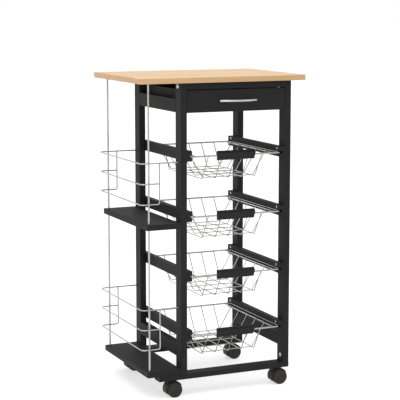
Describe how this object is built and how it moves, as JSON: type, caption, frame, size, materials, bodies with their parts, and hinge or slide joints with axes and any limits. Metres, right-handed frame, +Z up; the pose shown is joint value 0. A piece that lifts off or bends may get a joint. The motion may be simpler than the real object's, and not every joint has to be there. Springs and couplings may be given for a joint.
{
  "type": "kitchen island cart",
  "caption": "Rolling kitchen island cart with an overhanging wooden top, a shallow drawer, pull-out wire baskets, and a side rack with wire guards, on twin-wheel castors.",
  "frame": {"origin": "on the floor, under the middle of the overall bounding box", "axes": "+Z up; -Y is the front, where the drawer and baskets open; +X to the right, away from the side rack"},
  "size_m": [0.49, 0.37, 0.871],
  "materials": {
    "wood_top": "clear satin lacquer over a light wood board",
    "black_paint": "satin black paint on wood, with fine grain showing",
    "drawer_board": "black painted board",
    "chrome_wire": "bright plated wire",
    "satin_steel": "satin nickel",
    "zinc_steel": "zinc plated",
    "black_grip": "matt black",
    "castor_plastic": "dark grey nylon"
  },
  "bodies": {
    "frame": {"tabletop": "wood_top", "post_front_left": "black_paint", "post_front_right": "black_paint", "post_rear_left": "black_paint", "post_rear_right": "black_paint", "base_rail_front": "black_paint", "base_rail_rear": "black_paint", "top_rail_front": "black_paint", "top_rail_rear": "black_paint", "apron_left": "black_paint", "apron_right": "black_paint", "side_rail_left": "black_paint", "side_rail_right": "black_paint", "drawer_cleat_left": "black_paint", "drawer_cleat_right": "black_paint", "runner_1_left": "black_paint", "runner_1_right": "black_paint", "runner_2_left": "black_paint", "runner_2_right": "black_paint", "runner_3_left": "black_paint", "runner_3_right": "black_paint", "runner_4_left": "black_paint", "runner_4_right": "black_paint", "rack_shelf_middle": "black_paint", "rack_shelf_lower": "black_paint", "rack_rods": "chrome_wire", "rack_guard_upper": "chrome_wire", "rack_guard_lower": "chrome_wire", "frame_bolts": "zinc_steel", "barrel_nuts": "zinc_steel", "wood_screws": "zinc_steel", "castor_stems": "zinc_steel"},
    "drawer": {"drawer_front": "black_paint", "drawer_side_left": "drawer_board", "drawer_side_right": "drawer_board", "drawer_back": "drawer_board", "drawer_bottom": "drawer_board", "drawer_pull": "satin_steel", "pull_screws": "zinc_steel"},
    "basket_1": {"basket_1_wire": "chrome_wire", "basket_1_handle": "black_grip"},
    "basket_2": {"basket_2_wire": "chrome_wire", "basket_2_handle": "black_grip"},
    "basket_3": {"basket_3_wire": "chrome_wire", "basket_3_handle": "black_grip"},
    "basket_4": {"basket_4_wire": "chrome_wire", "basket_4_handle": "black_grip"},
    "castor_front_left": {"castor_front_left_hood": "castor_plastic"},
    "wheelset_front_left": {"castor_front_left_axle": "zinc_steel", "castor_front_left_wheels": "castor_plastic"},
    "castor_front_right": {"castor_front_right_hood": "castor_plastic"},
    "wheelset_front_right": {"castor_front_right_axle": "zinc_steel", "castor_front_right_wheels": "castor_plastic"},
    "castor_rear_left": {"castor_rear_left_hood": "castor_plastic"},
    "wheelset_rear_left": {"castor_rear_left_axle": "zinc_steel", "castor_rear_left_wheels": "castor_plastic"},
    "castor_rear_right": {"castor_rear_right_hood": "castor_plastic"},
    "wheelset_rear_right": {"castor_rear_right_axle": "zinc_steel", "castor_rear_right_wheels": "castor_plastic"}
  },
  "joints": [
    {"name": "drawer_slide", "type": "slide", "parent": "frame", "child": "drawer", "axis": [0, -1, 0], "range_m": [0, 0.2]},
    {"name": "basket_1_slide", "type": "slide", "parent": "frame", "child": "basket_1", "axis": [0, -1, 0], "range_m": [0, 0.22]},
    {"name": "basket_2_slide", "type": "slide", "parent": "frame", "child": "basket_2", "axis": [0, -1, 0], "range_m": [0, 0.22]},
    {"name": "basket_3_slide", "type": "slide", "parent": "frame", "child": "basket_3", "axis": [0, -1, 0], "range_m": [0, 0.22]},
    {"name": "basket_4_slide", "type": "slide", "parent": "frame", "child": "basket_4", "axis": [0, -1, 0], "range_m": [0, 0.22]},
    {"name": "swivel_front_left", "type": "hinge", "parent": "frame", "child": "castor_front_left", "pos_m": [-0.153, -0.143, 0], "axis": [0, 0, 1], "continuous": true},
    {"name": "swivel_front_right", "type": "hinge", "parent": "frame", "child": "castor_front_right", "pos_m": [0.169, -0.143, 0], "axis": [0, 0, 1], "continuous": true},
    {"name": "swivel_rear_left", "type": "hinge", "parent": "frame", "child": "castor_rear_left", "pos_m": [-0.153, 0.153, 0], "axis": [0, 0, 1], "continuous": true},
    {"name": "swivel_rear_right", "type": "hinge", "parent": "frame", "child": "castor_rear_right", "pos_m": [0.169, 0.153, 0], "axis": [0, 0, 1], "continuous": true},
    {"name": "roll_front_left", "type": "hinge", "parent": "castor_front_left", "child": "wheelset_front_left", "pos_m": [-0.143, -0.143, 0.021], "axis": [0, 1, 0], "continuous": true},
    {"name": "roll_front_right", "type": "hinge", "parent": "castor_front_right", "child": "wheelset_front_right", "pos_m": [0.179, -0.143, 0.021], "axis": [0, 1, 0], "continuous": true},
    {"name": "roll_rear_left", "type": "hinge", "parent": "castor_rear_left", "child": "wheelset_rear_left", "pos_m": [-0.143, 0.153, 0.021], "axis": [0, 1, 0], "continuous": true},
    {"name": "roll_rear_right", "type": "hinge", "parent": "castor_rear_right", "child": "wheelset_rear_right", "pos_m": [0.179, 0.153, 0.021], "axis": [0, 1, 0], "continuous": true}
  ]
}
